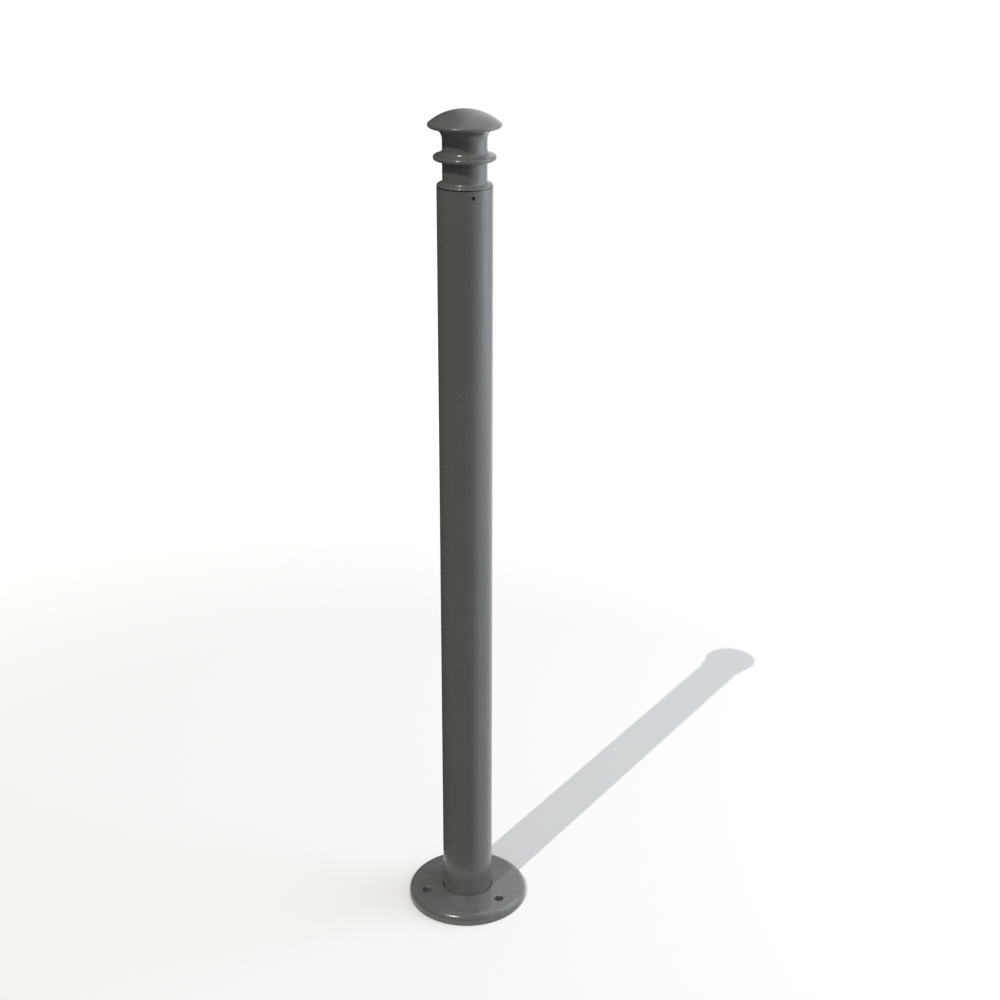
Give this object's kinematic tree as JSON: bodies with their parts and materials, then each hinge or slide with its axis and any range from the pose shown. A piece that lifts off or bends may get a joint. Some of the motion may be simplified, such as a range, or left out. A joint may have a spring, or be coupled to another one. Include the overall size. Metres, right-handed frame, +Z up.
{
  "type": "bollard",
  "caption": "Round steel tube bollard with a bolted base flange and a domed, ringed cast head, marking an edge or keeping vehicles off a footway.",
  "frame": {"origin": "centre of the base flange's underside, on the post's axis", "axes": "+Z up the post's axis; the head's locking screw faces -Y; the first anchor hole lies on -X"},
  "size_m": [0.1464, 0.1464, 0.9736],
  "materials": {
    "flange_paint": "satin grey powder coat",
    "weld_paint": "grey powder coat over a weld",
    "tube_paint": "satin grey powder coat",
    "head_paint": "satin grey powder coat over a smooth casting",
    "screw_steel": "black oxide"
  },
  "bodies": {
    "root": {"base_flange": "flange_paint", "weld_bead": "weld_paint", "post_tube": "tube_paint", "head_casting": "head_paint", "locking_screw": "screw_steel"}
  },
  "joints": []
}
